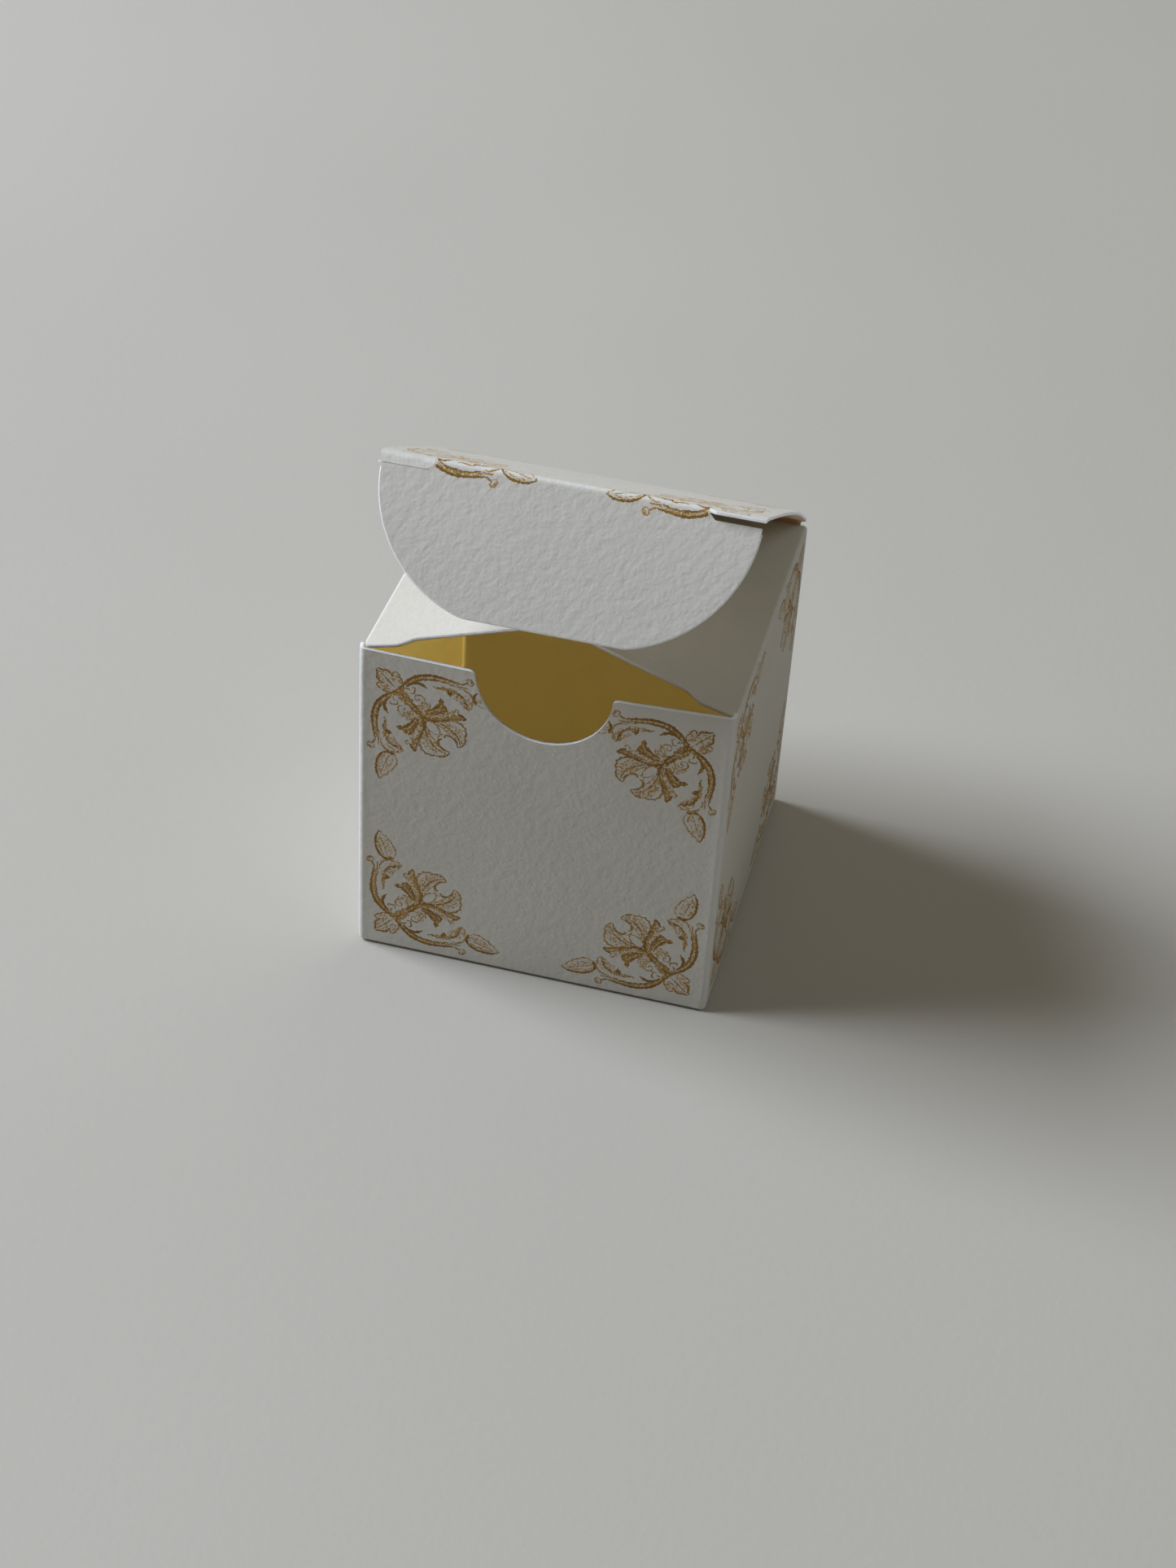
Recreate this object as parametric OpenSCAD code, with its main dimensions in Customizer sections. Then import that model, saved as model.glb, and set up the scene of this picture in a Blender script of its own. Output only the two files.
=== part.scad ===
// Favor box folded from one sheet of printed card, standing with its lid ajar.
// The front wall is at -Y and the lid folds at the back. The origin is the middle of the base.

/* [Box] */
// Outside width, from side to side
box_w = 50; // [40:1:80]
// Outside depth, from front to back
box_d = 50; // [40:1:80]
// Height of the front wall
box_h = 50; // [35:1:90]
// Thickness of the card
card_t = 0.5; // [0.4:0.05:0.7]
// Outside radius of the upright folds
fold_r = 1; // [0.8:0.1:2]
// Outside radius of the folds at the foot of the walls
foot_r = 0.9; // [0.8:0.1:2]
// Radius of the bead that the crease raises along a moving fold
crease_r = 0.3; // [0.25:0.05:0.4]

/* [Thumb notch] */
// Radius of the half-round notch in the front wall
notch_r = 9.2; // [6:0.2:14]
// Rounding where the notch meets the top edge
notch_corner_r = 0.8; // [0.4:0.1:2]

/* [Lid] */
// Angle of the lid above level
lid_angle = 31.4; // [20:0.2:85]
// How far the fold at the lid's front stands before the middle of the front wall
lid_overhang = 0.2; // [0.1:0.05:0.5]
// Gap between each side of the lid and the outside of the box
lid_inset = 0.2; // [0.1:0.05:0.6]
// How far the lid's card bows up out of flat
lid_bow = 1; // [0.2:0.1:2]
// Distance of the bow's crest from the fold at the lid's back
lid_crest = 16; // [12:1:25]

/* [Tuck flap] */
// Angle that the tuck flap is folded down from the plane of the lid
tuck_angle = 82; // [0:1:105]
// Length of the tuck flap from its fold
tuck_len = 19; // [12:0.5:25]
// Gap between each side of the tuck flap and the inside of the box
tuck_inset = 0.15; // [0.1:0.05:0.5]
// Radius of the two round corners of the tuck flap
tuck_corner_r = 18.2; // [6:0.2:22]
// Length of the locking slit at each end of the fold
slit_len = 7.2; // [4:0.2:12]
// Distance of the locking slits below the fold
slit_drop = 1.3; // [0.8:0.1:2]
// Sideways run of each slit's slanted inner end
slit_slant = 0.8; // [0.4:0.1:1.5]
// Width of the cut that makes a slit
slit_cut = 0.1; // [0.05:0.05:0.3]

/* [Dust flaps] */
// Angle of the dust flaps above level
flap_angle = 15; // [0:1:16]
// Gap between the free ends of the two dust flaps when they lie flat
flap_gap = 5.5; // [2:0.5:16]
// Distance of a dust flap's shoulder behind the outside of the front wall
flap_front = 1.7; // [1.6:0.1:2.5]
// Distance of a dust flap's fold from the outside of the back wall
flap_back = 1.2; // [1:0.1:3]
// Length of the shoulder, up to the step that lets the slit lock catch
shoulder_len = 4.4; // [3:0.2:7]
// Length of the step
step_len = 3; // [2:0.2:5]
// Depth of the step
step_depth = 1.4; // [0.8:0.1:2.5]
// Taper of the front edge past the step
flap_front_taper = 6; // [2:1:15]
// Extra taper of the back edge beyond what just clears the lid
flap_back_margin = 1; // [0.5:0.5:10]
// Rounding of the free corners of the dust flaps
flap_corner_r = 2; // [1:0.2:4]

/* [Base and seam] */
// Gap between the free ends of the two glued flaps that lie on the base
base_flap_gap = 9; // [2:0.5:24]
// Distance of those flaps from the inside of the front and back walls
base_flap_inset = 1; // [0.5:0.1:3]
// Height of the base's tail, glued inside the front wall
tail_h = 12; // [8:0.5:25]
// Distance of the tail from the side walls
tail_inset = 1; // [0.6:0.1:3]
// Width of the glue tab of the side seam
seam_w = 10; // [7:0.5:15]
// Distance of the glue tab from the base and from the top of its wall
seam_inset = 2; // [1:0.5:5]

/* [Hidden] */
// Clearance at a moving fold, and between layers that lie on each other
fold_gap = 0.05;
layer_gap = 0.1;
// How far a cut runs past the face that it starts from
overrun = 1;
// Straight stretches that make up a small corner, a step, the notch and each half of the lid's bow
corner_steps = 8;
step_steps = 10;
notch_steps = 48;
bow_steps = 12;

// The lid turns on the middle of the back wall's top edge
hinge_y = box_d / 2 - card_t / 2;
hinge_z = box_h - card_t / 2;
back_top = hinge_z - crease_r - fold_gap;
lid_w = box_w - 2 * lid_inset;
lid_len = box_d - card_t + lid_overhang;

// The lid's bow is two arcs that meet level at its crest
bow_back_r = (pow(lid_crest, 2) + pow(lid_bow, 2)) / (2 * lid_bow);
bow_front_r = (pow(lid_len - lid_crest, 2) + pow(lid_bow, 2)) / (2 * lid_bow);

// The tuck flap hangs from the middle stretch of the lid's front edge, between the slits
neck_w = lid_w - 2 * slit_len;
tuck_w = box_w - 2 * card_t - 2 * tuck_inset;
lid_edge = lid_len - crease_r - fold_gap;
tongue_len = slit_drop - slit_cut;

// The dust flaps turn on the side walls' top edges and lie under the closed lid
flap_x = box_w / 2 - card_t / 2;
flap_len = flap_x - flap_gap / 2;
flap_z = hinge_z - card_t - layer_gap;
side_top = flap_z - crease_r - fold_gap;
flap_y_front = flap_front - box_d / 2;
flap_y_back = box_d / 2 - flap_back;
flap_back_taper = atan(sin(flap_angle) / tan(lid_angle)) + flap_back_margin;

$fn = 96;

// Points along an arc
function arc(centre, r, from, to, steps) =
    [for (i = [0:steps]) let (a = from + (to - from) * i / steps) centre + r * [cos(a), sin(a)]];

// Points of an S-shaped step, level at both ends
function s_step(start, run, rise, steps) =
    [for (i = [0:steps]) start + [run * i / steps, rise * (1 - cos(180 * i / steps)) / 2]];

// Side view of one face of the lid, off the middle of its card, from its fold to past its tongues
function lid_line(off) =
    let (
        back_angle = asin(lid_crest / bow_back_r),
        front_angle = asin((lid_len + tongue_len + overrun - lid_crest) / bow_front_r),
        back = arc([lid_crest, lid_bow - bow_back_r], bow_back_r + off, 90 + back_angle, 90, bow_steps),
        front = arc([lid_crest, lid_bow - bow_front_r], bow_front_r + off, 90, 90 - front_angle, bow_steps)
    )
    concat(back, [for (i = [1:bow_steps]) front[i]]);

// The same points from last to first
function reversed(points) = [for (i = [len(points) - 1:-1:0]) points[i]];

// Rectangle about the origin with round corners
module rounded_rectangle(w, d, r) {
    square([w - 2 * r, d], center = true);
    square([w, d - 2 * r], center = true);
    for (x = [-1, 1], y = [-1, 1])
        translate([x * (w / 2 - r), y * (d / 2 - r)]) circle(r);
}

// Block with the box's plan, drawn in by an inset on every side and at the base
module block(inset) {
    translate([0, 0, inset])
        linear_extrude(box_h) rounded_rectangle(box_w - 2 * inset, box_d - 2 * inset, fold_r - inset);
}

// What a fold at the foot of a wall takes off the wall's bottom edge, which lies on the X axis at -Y
module foot_round(len) {
    rotate([90, 0, 90])
        linear_extrude(len, center = true)
            difference() {
                translate([-overrun, -overrun]) square(foot_r + overrun);
                translate([foot_r, foot_r]) circle(foot_r);
            }
}

// Rounds the feet of the back and side walls between the upright folds
module foot_cuts() {
    translate([0, box_d / 2, 0])
        rotate([0, 0, 180]) foot_round(box_w - 2 * fold_r);
    for (side = [-1, 1])
        translate([side * box_w / 2, 0, 0])
            rotate([0, 0, side * 90]) foot_round(box_d - 2 * fold_r);
}

// Half-round notch below the baseline, with its two top corners rounded outwards
module notch_outline() {
    corner_x = sqrt(pow(notch_r + notch_corner_r, 2) - pow(notch_corner_r, 2));
    meet = asin(notch_corner_r / (notch_r + notch_corner_r));
    half_round = arc([0, 0], notch_r, 180 + meet, 360 - meet, notch_steps);
    polygon(concat(
        [[-corner_x, overrun]],
        arc([-corner_x, -notch_corner_r], notch_corner_r, 90, meet, corner_steps),
        [for (i = [1:notch_steps - 1]) half_round[i]],
        arc([corner_x, -notch_corner_r], notch_corner_r, 180 - meet, 90, corner_steps),
        [[corner_x, overrun]]
    ));
}

// Lowers the top edges of the back and side walls to their folds
module fold_line_cuts() {
    translate([-box_w / 2 - overrun, box_d / 2 - fold_r, back_top])
        cube([box_w + 2 * overrun, fold_r + overrun, box_h]);
    for (side = [0, 1])
        mirror([side, 0, 0])
            translate([box_w / 2 - fold_r, flap_y_front - fold_gap, side_top])
                cube([fold_r + overrun, box_d, box_h]);
}

// Outline of a dust flap: its fold on the Y axis, its free end towards +X, its front at -Y
module dust_flap_outline() {
    step_end = [shoulder_len + step_len, flap_y_front + step_depth];
    corner_x = flap_len - flap_corner_r;
    front_run = (corner_x - step_end[0]) * tan(flap_front_taper);
    front_y = step_end[1] + front_run + flap_corner_r / cos(flap_front_taper);
    back_y = flap_y_back - corner_x * tan(flap_back_taper) - flap_corner_r / cos(flap_back_taper);
    polygon(concat(
        [[0, flap_y_front]],
        s_step([shoulder_len, flap_y_front], step_len, step_depth, step_steps),
        arc([corner_x, front_y], flap_corner_r, flap_front_taper - 90, 0, corner_steps),
        arc([corner_x, back_y], flap_corner_r, 0, 90 - flap_back_taper, corner_steps),
        [[0, flap_y_back]]
    ));
}

// Outline of the tuck flap: its fold on the X axis and its free edge towards -Y,
// with the shoulders that the slits cut free
module tuck_outline() {
    round_x = tuck_w / 2 - tuck_corner_r;
    round_y = max(slit_drop, tuck_len - tuck_corner_r);
    intersection() {
        union() {
            for (side = [-1, 1])
                translate([side * round_x, -round_y]) circle(tuck_corner_r);
            translate([-round_x, -tuck_len]) square([2 * round_x, tuck_len]);
            if (round_y > slit_drop)
                translate([-tuck_w / 2, -round_y]) square([tuck_w, round_y]);
        }
        translate([-tuck_w / 2, -tuck_len]) square([tuck_w, tuck_len - slit_drop]);
    }
    polygon([
        [-neck_w / 2, 0],
        [neck_w / 2, 0],
        [neck_w / 2, -card_t],
        [neck_w / 2 + slit_slant, -slit_drop],
        [-neck_w / 2 - slit_slant, -slit_drop],
        [-neck_w / 2, -card_t]
    ]);
}

// Outline of the lid: its fold on the X axis, its front towards -Y, with a tongue before each slit
module lid_outline() {
    translate([-lid_w / 2, -lid_edge]) square([lid_w, lid_edge]);
    for (side = [-1, 1])
        polygon([
            [side * (neck_w / 2 + slit_cut), -lid_edge],
            [side * (neck_w / 2 + slit_cut), -lid_len - card_t],
            [side * (neck_w / 2 + slit_cut + slit_slant), -lid_len - tongue_len],
            [side * lid_w / 2, -lid_len - tongue_len],
            [side * lid_w / 2, -lid_edge]
        ]);
}

// Sheet of card with the given outline, its middle on the XY plane
module card() {
    linear_extrude(card_t, center = true) children();
}

// The lid's bowed card: its side view, cut to its outline
module lid_card() {
    intersection() {
        rotate([90, 0, -90])
            linear_extrude(lid_w + 2 * overrun, center = true)
                polygon(concat(lid_line(card_t / 2), reversed(lid_line(-card_t / 2))));
        linear_extrude(2 * (lid_bow + overrun), center = true) lid_outline();
    }
}

// Bead of a moving fold along the X axis
module crease(len) {
    rotate([0, 90, 0]) cylinder(r = crease_r, h = len, center = true);
}

// Frame of the lid, with its fold on the X axis
module on_lid() {
    translate([0, hinge_y, hinge_z]) rotate([-lid_angle, 0, 0]) children();
}

// Flaps of the base, its tail and the glue tab, each one layer of card inside the walls
module glued_layers() {
    inner_x = box_w / 2 - card_t;
    inner_y = box_d / 2 - card_t;
    base_flap_len = inner_x - base_flap_gap / 2;
    for (side = [-1, 1])
        translate([side * (inner_x - base_flap_len / 2), 0, 3 * card_t / 2])
            cube([base_flap_len, 2 * (inner_y - base_flap_inset), card_t], center = true);
    translate([0, card_t / 2 - inner_y, card_t + tail_h / 2])
        cube([2 * (inner_x - tail_inset), card_t, tail_h], center = true);
    translate([inner_x - card_t, inner_y - seam_w, card_t + seam_inset])
        cube([card_t, seam_w, side_top - card_t - 2 * seam_inset]);
}

module box_body() {
    color("ivory") {
        difference() {
            block(0);
            block(card_t);
            foot_cuts();
            fold_line_cuts();
            translate([0, fold_r - box_d / 2, box_h])
                rotate([90, 0, 0])
                    linear_extrude(fold_r + overrun) notch_outline();
        }
        glued_layers();
    }
}

module lid_panel() {
    color("whitesmoke")
        on_lid() {
            lid_card();
            crease(lid_w);
        }
}

module tuck_flap() {
    color("white")
        on_lid()
            translate([0, -lid_len, 0])
                rotate([tuck_angle, 0, 0]) {
                    card() tuck_outline();
                    crease(neck_w);
                }
}

// Dust flap of the left wall
module dust_flap() {
    color("snow")
        translate([-flap_x, 0, flap_z])
            rotate([0, -flap_angle, 0]) {
                card() dust_flap_outline();
                translate([0, (flap_y_front + flap_y_back) / 2, 0])
                    rotate([0, 0, 90]) crease(flap_y_back - flap_y_front);
            }
}

module left_dust_flap() {
    dust_flap();
}

module right_dust_flap() {
    mirror([1, 0, 0]) dust_flap();
}

box_body();
lid_panel();
tuck_flap();
left_dust_flap();
right_dust_flap();
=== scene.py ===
"""Favor box folded from one sheet of white felt-marked card, with ochre corner ornaments and its lid ajar.

Lengths are in millimetres until a mesh is made. The frame is the part's own: the front wall is at -Y, the
lid folds at the back, and the origin is the middle of the base.
"""

import math

import bpy
import numpy as np
from mathutils import Matrix


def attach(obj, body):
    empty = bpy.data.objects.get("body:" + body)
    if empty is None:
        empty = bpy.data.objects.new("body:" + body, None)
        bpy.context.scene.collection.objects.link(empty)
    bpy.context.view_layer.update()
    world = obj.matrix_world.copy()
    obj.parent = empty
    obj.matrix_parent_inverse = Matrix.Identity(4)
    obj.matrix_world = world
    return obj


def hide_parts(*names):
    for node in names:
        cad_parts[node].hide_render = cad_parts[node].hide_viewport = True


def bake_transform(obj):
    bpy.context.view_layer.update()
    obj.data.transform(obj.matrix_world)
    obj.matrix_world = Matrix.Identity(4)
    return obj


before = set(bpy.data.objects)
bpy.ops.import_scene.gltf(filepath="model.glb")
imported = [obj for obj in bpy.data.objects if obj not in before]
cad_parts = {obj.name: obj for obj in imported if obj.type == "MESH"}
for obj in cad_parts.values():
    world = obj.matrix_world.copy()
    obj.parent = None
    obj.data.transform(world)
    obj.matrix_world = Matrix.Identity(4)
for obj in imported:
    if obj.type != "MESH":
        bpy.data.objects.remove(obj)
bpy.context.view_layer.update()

MM = 0.001
NEAR = 1e-6
X, Y, Z = np.eye(3)

# The card: its thickness, the bulge of a cut edge and of the tuck flap's free edge, and how far its face is
# cracked beside the folds, the lid's front seam and the tuck flap's crease
CARD = 0.5
RIM = 0.04
FREE_RIM = 0.2
FOLD_CRACK = 0.6
SEAM_CRACK = 0.7
TUCK_CRACK = 0.8

# The walls and their upright folds
HALF = 25.0
HEIGHT = 50.0
FOLD_R = 1.0
FOLD_BEAD = 0.1
BEAD_FADE = 2.0
CORE = HALF - FOLD_R

# The walls' top edges, lower where the strips of the dust flaps and of the lid begin
STRIP_TOP = 48.2
CORNER_TOP = 48.8
STRIP_GAP = 0.05
JUMP = 0.01
SIDE_LEAD = 23.6
SIDE_SPAN = 23.0
BACK_SPAN = 23.5
LID_STRIP = 23.95
SEAM_STEP = 0.14
RIM_RISE = 0.03
RIM_SHARES = np.array([[0.15], [0.85]])

# The foot of the walls. The rows of the front wall's step are shares of its lap and of its lift, and the
# rows of the base are shares of the plan
FOOT_R = 0.9
INNER_FOOT_R = 0.1
FOOT_WEAR = 0.3
FRONT_FOOT_R = 0.15
FRONT_LIFT = 0.5
FRONT_LAP = 0.4
LAP_ROWS = np.array([-1.4, -1, -1, -1, -0.95, -0.5, -0.1, 0])
LIFT_ROWS = np.array([0, 0, 0.5, 0.95, 1, 1, 1, 1.1])
BASE_ROWS = np.array([0.02, 0.3, 0.6, 0.85, 0.97])

# The thumb notch, and the front wall's bow on both sides of it
NOTCH_R = 9.2
NOTCH_CORNER = 0.8
BOW_AT = 9.5
BOW_LEFT = 0.4
BOW_RIGHT = 1.0
BOW_SOFT = 3.0
BOW_RISE = 1.7

# The lid, its fold on the back wall and its tongues
LID_TILT = math.radians(31.4)
LID_LEN = 49.7
LID_HALF = 24.8
LID_HINGE = np.array([0, 24.75, 49.75])
LID_FOLD = math.pi / 2 - LID_TILT
LID_FOLD_R = 0.55
LID_BOW = 1.0
LID_CREST = 16.0
LID_SKEW = 0.45
SKEW_FULL = 46.0
FOLD_NARROW = 0.035
NARROW_SPAN = (-0.5, 1.5)
SEAM_AT = 48.8
NECK_HALF = 17.6
SLIT = 0.1
BESIDE_SLIT = 0.3
PAST_SLIT = 1.5
TONGUE = 1.2
CURL_AT = SEAM_AT + 0.1
CURL_R = 0.8
LEFT_CURL = math.radians(62)
RIGHT_CURL = math.radians(6)
LID_ALONG = -math.cos(LID_TILT) * Y + math.sin(LID_TILT) * Z
LID_UP = math.sin(LID_TILT) * Y + math.cos(LID_TILT) * Z

# The tuck flap
TUCK_FOLD = math.radians(82)
TUCK_FOLD_R = 0.75
TUCK_LEN = 19.0
TUCK_HALF = 24.35
TUCK_CORNER = 18.2
TUCK_BULGE = 0.3
ROUND_SPAN = 5.9
SLIT_DROP = 1.3
SLIT_SLANT = 0.8
TUCK_CREASE = LID_HINGE + LID_LEN * LID_ALONG

# The dust flaps
FLAP_FOLD = math.radians(75)
FLAP_FOLD_R = 0.5
FLAP_X = 24.75
FLAP_Z = 49.15
FLAP_LEN = 22.0
FLAP_FRONT = -23.3
FLAP_BACK = 23.8
FLAP_BENT = 0.6
FLAP_STRAIGHT = 0.8
SHOULDER = 4.4
STEP_LEN = 3.0
STEP_DEPTH = 1.4
FRONT_TAPER = math.tan(math.radians(6))
BACK_TAPER = math.tan(math.radians(23.98))
FLAP_CORNER = 2.0

# The glued layers inside: the base's two flaps and its tail, and the tab of the side seam
GLUE = 0.03
CLEAR = 0.05
LAYER_HALF = 23.5
BASE_FLAP = 20.0
TAIL = 12.0
TAB = 10.0
TAB_FOOT = 2.5
TAB_HEIGHT = 44.3


# Shapes


def ease(start, end, value):
    """Goes from 0 at start to 1 at end along a cubic that is level at both ends."""
    t = np.clip((value - start) / (end - start), 0, 1)
    return t * t * (3 - 2 * t)


def worn_at(distance, reach):
    """How far a crease has cracked the card's face: 1 on its line, falling straight to 0 at the reach."""
    return np.clip(1 - np.abs(distance) / reach, 0, 1)


def fold(q, corner, along, out, angle, radius):
    """A sheet's line across a crease, at the distances q from the corner of its two straights.

    The line runs straight along `along`, turns by the angle away from its outside `out` on an arc that
    touches both straights, and runs on straight. Distances before the corner are negative. Gives the points,
    the outward normals and the headings of the line.
    """
    reach = radius * math.tan(angle / 2)
    turn = angle * np.clip((q + reach) / (2 * reach), 0, 1)[..., None]
    normal = np.cos(turn) * out + np.sin(turn) * along
    heading = np.cos(turn) * along - np.sin(turn) * out
    before = np.minimum(q + reach, 0)[..., None] * along
    after = np.maximum(q - reach, 0)[..., None] * heading
    return corner - reach * along - radius * out + radius * normal + before + after, normal, heading


def piece(name, points, faces, finishes, finish_of_face=None, mark=None, sharp=35):
    """Mesh object at the origin, from points in millimetres, smooth but for edges sharper than an angle.

    A mark is the name of a value at each point that the finish reads, and those values.
    """
    mesh = bpy.data.meshes.new(name)
    mesh.from_pydata((points * MM).tolist(), [], faces)
    if finish_of_face is not None:
        mesh.polygons.foreach_set("material_index", np.asarray(finish_of_face, np.int32))
    mesh.polygons.foreach_set("use_smooth", np.ones(len(mesh.polygons), bool))
    mesh.set_sharp_from_angle(angle=math.radians(sharp))
    if mark is not None:
        label, values = mark
        attribute = mesh.attributes.new(label, "FLOAT", "POINT")
        attribute.data.foreach_set("value", np.asarray(values, np.float32))
    for finish in finishes:
        mesh.materials.append(finish)
    mesh.update()
    thing = bpy.data.objects.new(name, mesh)
    bpy.context.scene.collection.objects.link(thing)
    return thing


def grid_faces(rows, cols):
    """Numbers of a grid's points, and its four-cornered faces."""
    index = np.arange(rows * cols).reshape(rows, cols)
    faces = np.stack([index[:-1, :-1], index[:-1, 1:], index[1:, 1:], index[1:, :-1]], -1)
    return index, faces.reshape(-1, 4)


def card_sheet(name, middle, normal, finishes, crease=0.0, bulge=RIM):
    """Closed sheet of card on a grid of middle points.

    The outer and inner faces stand half the card's thickness off the middle along the normal. A rim of two
    strips, bulged a little past the edge in the sheet's plane, joins them all round.
    """
    crease = np.broadcast_to(crease, middle.shape[:2])
    bulge = np.broadcast_to(bulge, middle.shape[:2])
    r, c = middle.shape[0] // 2, middle.shape[1] // 2
    facing = np.cross(middle[r, c + 1] - middle[r, c], middle[r + 1, c] - middle[r, c])
    if facing @ normal[r, c] < 0:
        middle, normal = middle.transpose(1, 0, 2), normal.transpose(1, 0, 2)
        crease, bulge = crease.T, bulge.T
    rows, cols = middle.shape[:2]
    index, quads = grid_faces(rows, cols)
    edge_r = np.concatenate([np.zeros(cols - 1, int), np.arange(rows - 1), np.full(cols - 1, rows - 1),
                             np.arange(rows - 1, 0, -1)])
    edge_c = np.concatenate([np.arange(cols - 1), np.full(rows - 1, cols - 1), np.arange(cols - 1, 0, -1),
                             np.zeros(rows - 1, int)])
    edge = index[edge_r, edge_c]
    inside = middle[np.clip(edge_r, 1, rows - 2), np.clip(edge_c, 1, cols - 2)]
    border = middle[edge_r, edge_c]
    away = np.cross(np.roll(border, -1, 0) - np.roll(border, 1, 0), normal[edge_r, edge_c])
    away *= np.sign(np.sum(away * (border - inside), 1, keepdims=True))
    away /= np.maximum(np.linalg.norm(away, axis=1, keepdims=True), NEAR)
    count = rows * cols
    rim = 2 * count + np.arange(len(edge))
    step = np.roll(np.arange(len(edge)), -1)
    upper = np.stack([edge, rim, rim[step], edge[step]], -1)
    lower = np.stack([rim, edge + count, edge[step] + count, rim[step]], -1)
    points = np.concatenate([
        (middle + normal * CARD / 2).reshape(-1, 3),
        (middle - normal * CARD / 2).reshape(-1, 3),
        border + bulge[edge_r, edge_c][:, None] * away,
    ])
    faces = np.concatenate([quads, quads[:, ::-1] + count, upper, lower])
    finish = np.repeat([0, 1, 2], [len(quads), len(quads), 2 * len(edge)])
    wear_and_highlight = np.concatenate([crease.ravel(), crease.ravel(), np.ones(len(edge))])
    return piece(name, points, faces.tolist(), finishes, finish, ("crease", wear_and_highlight))


def notch_line():
    """Right half of the notch's outline, from its rounded top corner in to its middle: x and z along it.

    The corner is an arc of NOTCH_CORNER that touches the top edge and the half-round of NOTCH_R.
    """
    meet = math.asin(NOTCH_CORNER / (NOTCH_R + NOTCH_CORNER))
    corner_x = (NOTCH_R + NOTCH_CORNER) * math.cos(meet)
    corner_z = HEIGHT - NOTCH_CORNER
    corner = np.linspace(math.pi / 2, meet, 9)
    half_round = np.linspace(meet, math.pi / 2, 40)[1:]
    x = np.concatenate([corner_x - NOTCH_CORNER * np.cos(corner), NOTCH_R * np.cos(half_round)])
    z = np.concatenate([corner_z + NOTCH_CORNER * np.sin(corner), HEIGHT - NOTCH_R * np.sin(half_round)])
    return x, z


def front_bow(x, z):
    """How far the front wall bows outwards: most beside the notch, and nothing at the folds and the foot.

    Straight lines between the marked values across the wall, averaged over a few millimetres, times a power
    of the height.
    """
    spread = np.linspace(-BOW_SOFT, BOW_SOFT, 13)
    marks = np.interp(x[..., None] + spread, [-CORE, -BOW_AT, BOW_AT, CORE], [0, BOW_LEFT, BOW_RIGHT, 0])
    fade = ease(CORE, CORE - BOW_SOFT, np.abs(x))
    return marks.mean(-1) * fade * np.clip(z / HEIGHT, 0, 1) ** BOW_RISE


def wall_columns():
    """Upright lines round the box, anticlockwise from the front left.

    A line stands on the core, the plan drawn in by the fold's radius: straight walls keep one outward
    direction, and the folds sweep it through a quarter turn about the core's corner. Gives for each line its
    core point, outward direction, top, radius of the foot, bead, and how far its outside is painted paler: a
    painted highlight down the bead of each upright fold.
    """
    notch_x, notch_z = notch_line()
    flat = np.linspace(CORE, notch_x[0], 16)[:-1]
    right_x = np.concatenate([flat, notch_x])
    right_z = np.concatenate([np.full(len(flat), HEIGHT), notch_z])
    front_x = np.concatenate([-right_x, right_x[-2::-1]])
    front_z = np.concatenate([right_z, right_z[-2::-1]])
    front_end = FLAP_FRONT - STRIP_GAP
    back_end = FLAP_BACK + STRIP_GAP
    side = np.concatenate([[-CORE, -SIDE_LEAD, front_end - JUMP, front_end + JUMP],
                           np.linspace(-SIDE_SPAN, SIDE_SPAN, 24),
                           [back_end - JUMP, back_end + JUMP, CORE]])
    side_top = np.full(len(side), STRIP_TOP)
    side_top[:3] = HEIGHT
    side_top[-2:] = CORNER_TOP
    back = np.concatenate([[CORE, LID_STRIP + JUMP, LID_STRIP - JUMP],
                           np.linspace(BACK_SPAN, -BACK_SPAN, 24),
                           [JUMP - LID_STRIP, -JUMP - LID_STRIP, -CORE]])
    back_top = np.full(len(back), STRIP_TOP)
    back_top[[0, 1, -2, -1]] = CORNER_TOP
    seam = np.zeros(len(side))
    seam[-2] = -SEAM_STEP
    sweep = np.linspace(0, 1, 11)[1:-1]
    flats = [(front_x, -CORE + 0 * front_x, -90, front_z, FRONT_FOOT_R, 0 * front_x),
             (CORE + 0 * side, side, 0, side_top, FOOT_R, seam),
             (back, CORE + 0 * back, 90, back_top, FOOT_R, 0 * back),
             (-CORE - 0 * side, side[::-1], 180, side_top[::-1], FOOT_R, 0 * side)]
    corners = [(CORE, -CORE, HEIGHT, FRONT_FOOT_R, FOOT_R),
               (CORE, CORE, CORNER_TOP, FOOT_R, FOOT_R),
               (-CORE, CORE, CORNER_TOP, FOOT_R, FOOT_R),
               (-CORE, -CORE, HEIGHT, FOOT_R, FRONT_FOOT_R)]
    core, turn, top, foot, lift, crease = [], [], [], [], [], []
    for wall, corner in zip(flats, corners):
        x, y, angle, wall_top, wall_foot, seat = wall
        corner_x, corner_y, corner_top, foot_from, foot_to = corner
        core += [np.stack([x, y], 1), np.tile([corner_x, corner_y], (len(sweep), 1))]
        turn += [np.full(len(x), angle), angle + 90 * sweep]
        top += [wall_top, np.full(len(sweep), corner_top)]
        foot += [np.full(len(x), wall_foot), foot_from + (foot_to - foot_from) * sweep]
        lift += [seat, FOLD_BEAD * np.sin(math.pi * sweep)]
        # The upright folds are painted paler outside, most at their middle: a painted highlight on the
        # fold's bead
        crease += [0 * x, np.sin(math.pi * sweep) ** 0.5]
    turn = np.radians(np.concatenate(turn))
    out = np.stack([np.cos(turn), np.sin(turn)], 1)
    return [np.concatenate(core), out] + [np.concatenate(part) for part in (top, foot, lift, crease)]


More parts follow.
